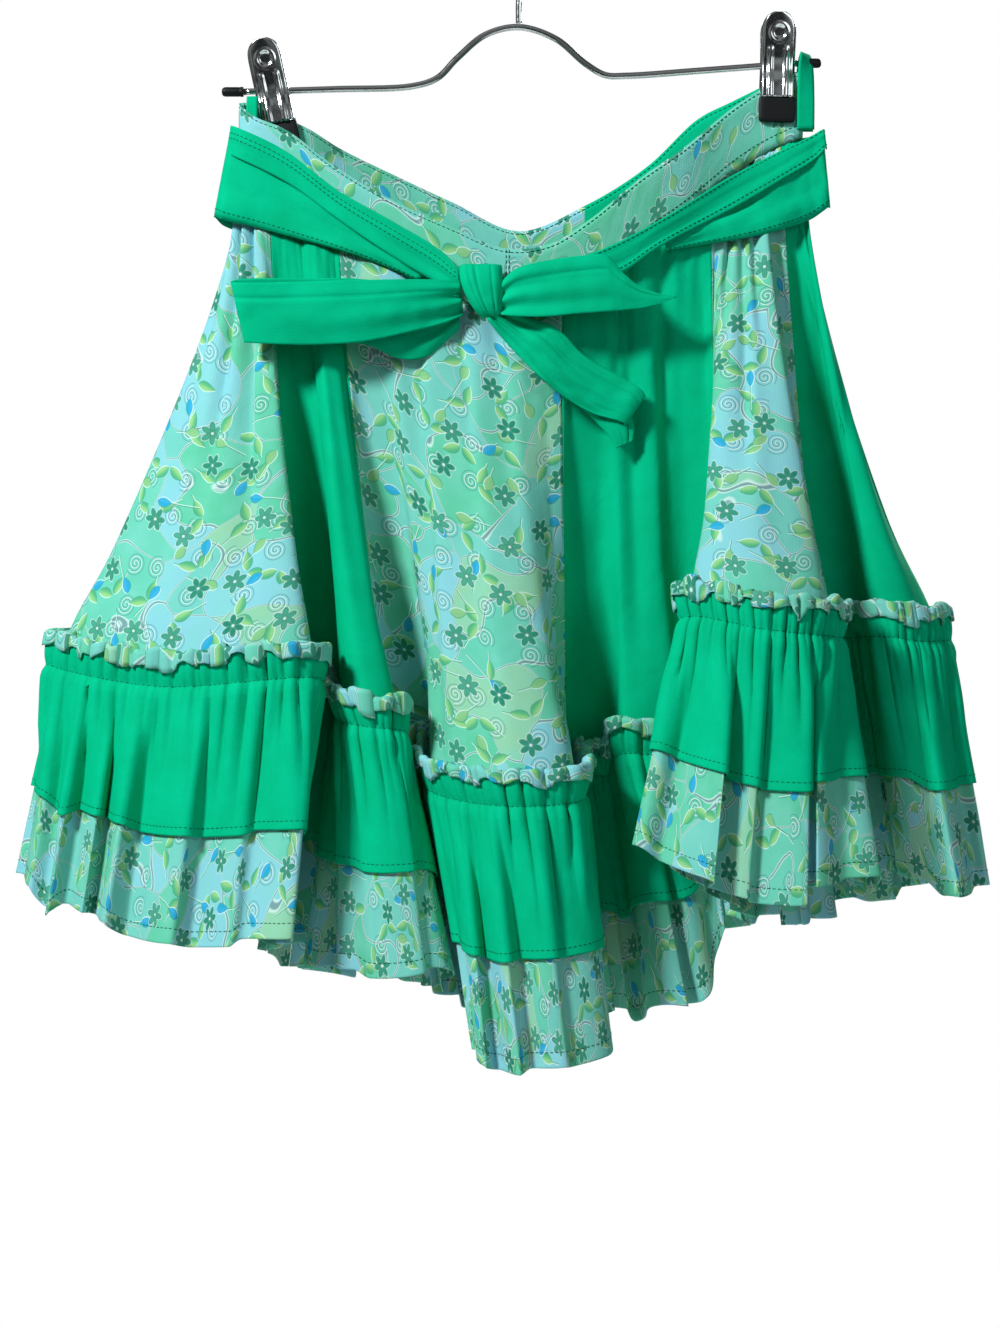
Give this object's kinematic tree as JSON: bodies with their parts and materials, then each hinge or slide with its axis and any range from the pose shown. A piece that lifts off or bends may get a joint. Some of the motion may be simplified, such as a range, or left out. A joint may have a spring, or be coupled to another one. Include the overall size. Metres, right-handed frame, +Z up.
{
  "type": "square dance skirt on a clip hanger",
  "caption": "Gathered square dance skirt of alternating printed and plain gores with a two-layer ruffled hem and a tied sash, clipped at the waist to a wire hanger.",
  "frame": {"origin": "the inside top of the hanger's hook, where it bears on a rod", "axes": "+Z up, -Y toward the front of the skirt with the bow, +X to the right as the front is seen"},
  "size_m": [0.5764, 0.2624, 0.6929],
  "materials": {
    "print_cotton": "printed cotton with vines, leaves and small flowers, matt",
    "green_cotton": "plain woven cotton poplin, soft low sheen",
    "chrome_wire": "polished chrome plate",
    "chrome_sheet": "chrome plated pressed sheet",
    "black_rubber": "matt black rubber"
  },
  "bodies": {
    "root": {"waistband_front": "print_cotton", "waistband_back": "print_cotton", "gore_a": "print_cotton", "gore_b": "green_cotton", "gore_c": "print_cotton", "gore_d": "green_cotton", "gore_e": "print_cotton", "gore_f": "green_cotton", "gore_g": "print_cotton", "gore_h": "green_cotton", "gore_i": "print_cotton", "gore_j": "green_cotton", "gore_k": "print_cotton", "gore_l": "green_cotton", "ruffle_print_ab": "print_cotton", "ruffle_green_ab": "green_cotton", "ruffle_print_cd": "print_cotton", "ruffle_green_cd": "green_cotton", "ruffle_print_ef": "print_cotton", "ruffle_green_ef": "green_cotton", "ruffle_print_gh": "print_cotton", "ruffle_green_gh": "green_cotton", "ruffle_print_ij": "print_cotton", "ruffle_green_ij": "green_cotton", "ruffle_print_kl": "print_cotton", "ruffle_green_kl": "green_cotton", "sash_left": "green_cotton", "sash_right": "green_cotton", "sash_back": "green_cotton", "bow_knot": "green_cotton", "bow_loop_left": "green_cotton", "bow_tail_right": "green_cotton", "bow_loop_low": "green_cotton", "bow_tail_low": "green_cotton", "hanging_loop_right": "green_cotton", "hanging_loop_left": "green_cotton", "hanger_bar": "chrome_wire", "hanger_hook": "chrome_wire", "hanger_tip_left": "black_rubber", "hanger_tip_right": "black_rubber", "clip_left_jaw_front": "chrome_sheet", "clip_left_jaw_back": "chrome_sheet", "clip_left_pad_front": "black_rubber", "clip_left_pad_back": "black_rubber", "clip_left_spring": "chrome_sheet", "clip_right_jaw_front": "chrome_sheet", "clip_right_jaw_back": "chrome_sheet", "clip_right_pad_front": "black_rubber", "clip_right_pad_back": "black_rubber", "clip_right_spring": "chrome_sheet"}
  },
  "joints": []
}
